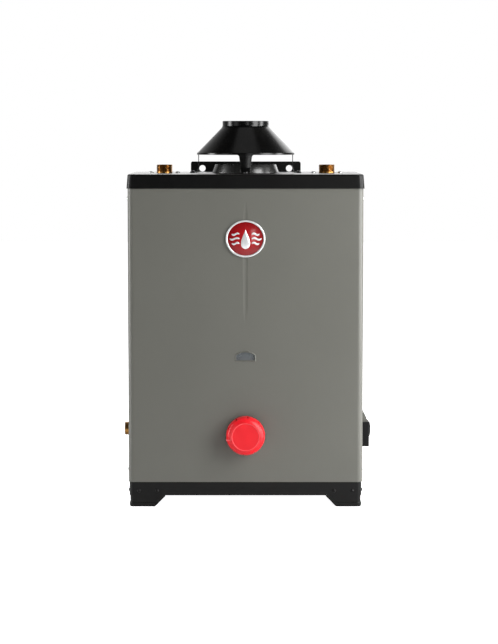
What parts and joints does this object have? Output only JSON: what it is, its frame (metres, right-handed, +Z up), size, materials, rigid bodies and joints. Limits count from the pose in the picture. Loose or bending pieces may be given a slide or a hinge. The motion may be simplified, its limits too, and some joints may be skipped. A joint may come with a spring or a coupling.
{
  "type": "tank water heater",
  "caption": "Box-shaped gas water heater with a sheet-metal jacket, corner feet, draft hood, pipe nipples, sight window, push-and-turn control knob and push-button igniter.",
  "frame": {"origin": "floor level under the centre of the whole heater's box, from knob to wall bracket; the flue axis is 8.75 mm behind it", "axes": "+Z up along the flue, -Y out of the front with the knob and badge, +X to the right as seen from the front"},
  "size_m": [0.4059, 0.3146, 0.6257],
  "materials": {
    "jacket_paint": "warm grey powder coat, satin",
    "black_enamel": "black paint, semi-gloss with a fine texture",
    "hood_enamel": "black high-temperature paint, semi-gloss",
    "collar_steel": "dark heat-tinted steel, satin",
    "zinc_steel": "zinc plated",
    "bright_steel": "ground bright",
    "galvanised_sheet": "galvanised",
    "burner_steel": "stainless, heat tinted",
    "brass": "turned brass, slightly tarnished",
    "chrome_trim": "bright chrome",
    "badge_enamel": "deep red under clear gloss",
    "sight_glass": "smoked heat-resistant glass",
    "knob_plastic": "bright red moulded plastic, satin gloss",
    "black_plastic": "black moulded plastic, satin",
    "white_plastic": "natural",
    "cast_aluminium": "die cast, matt",
    "tube_aluminium": "drawn tube",
    "copper_line": "copper capillary and bulb",
    "tank_enamel": "glass-lined steel, dark blue enamel",
    "magnesium": "cast magnesium, matt",
    "glass_wool": "yellow glass wool",
    "ceramic_white": "glazed ceramic",
    "lead_rubber": "silicone high-voltage lead"
  },
  "bodies": {
    "casing": {"anode_rod": "magnesium", "badge_dome": "badge_enamel", "badge_rim": "chrome_trim", "base_pan": "black_enamel", "bonnet_screws": "zinc_steel", "bracket_screws": "zinc_steel", "burner_bracket": "galvanised_sheet", "burner_head": "burner_steel", "burner_jet": "brass", "cold_nipple": "brass", "cover_screws": "zinc_steel", "dip_tube": "white_plastic", "draft_hood": "hood_enamel", "firebox_skirt": "galvanised_sheet", "flue_baffle": "burner_steel", "flue_collar": "collar_steel", "flue_tube": "tank_enamel", "foot_front_left": "black_enamel", "foot_front_right": "black_enamel", "foot_rear_left": "black_enamel", "foot_rear_right": "black_enamel", "foot_rivets": "black_enamel", "front_cover": "jacket_paint", "gas_inlet_fitting": "brass", "gas_supply_tube": "tube_aluminium", "heat_shield": "galvanised_sheet", "hood_legs": "hood_enamel", "hot_nipple": "brass", "igniter_canopy": "jacket_paint", "igniter_housing": "black_plastic", "igniter_nut": "bright_steel", "igniter_spring": "bright_steel", "insulation": "glass_wool", "knob_spring": "bright_steel", "manifold_tube": "tube_aluminium", "nipple_plates": "galvanised_sheet", "piezo_unit": "black_plastic", "pilot_burner": "brass", "pilot_tube": "tube_aluminium", "rear_wrapper": "jacket_paint", "side_screws": "zinc_steel", "sight_bezel": "jacket_paint", "sight_glass": "sight_glass", "spark_electrode": "ceramic_white", "spark_lead": "lead_rubber", "tank_bottom_head": "tank_enamel", "tank_shell": "tank_enamel", "tank_top_head": "tank_enamel", "thermocouple": "burner_steel", "thermostat_sensor": "copper_line", "top_cover": "black_enamel", "valve_body": "cast_aluminium", "valve_bonnet": "cast_aluminium", "venturi_tube": "galvanised_sheet", "wall_bracket": "black_enamel"},
    "cock_plug": {"cock_plug": "brass"},
    "control_knob": {"control_knob": "knob_plastic", "valve_stem": "bright_steel"},
    "igniter_button": {"igniter_button": "black_plastic"}
  },
  "joints": [
    {"name": "knob_turn", "type": "hinge", "parent": "casing", "child": "cock_plug", "pos_m": [0, -0.12, 0.118], "axis": [0, -1, 0], "range_deg": [0, 180]},
    {"name": "knob_push", "type": "slide", "parent": "cock_plug", "child": "control_knob", "axis": [0, 1, 0], "range_m": [0, 0.005], "stiffness_N_per_m": 600, "springref_m": -0.008, "deforming": ["knob_spring"]},
    {"name": "igniter_push", "type": "slide", "parent": "casing", "child": "igniter_button", "axis": [-1, 0, 0], "range_m": [0, 0.004], "stiffness_N_per_m": 900, "springref_m": -0.005, "deforming": ["igniter_spring"]}
  ]
}
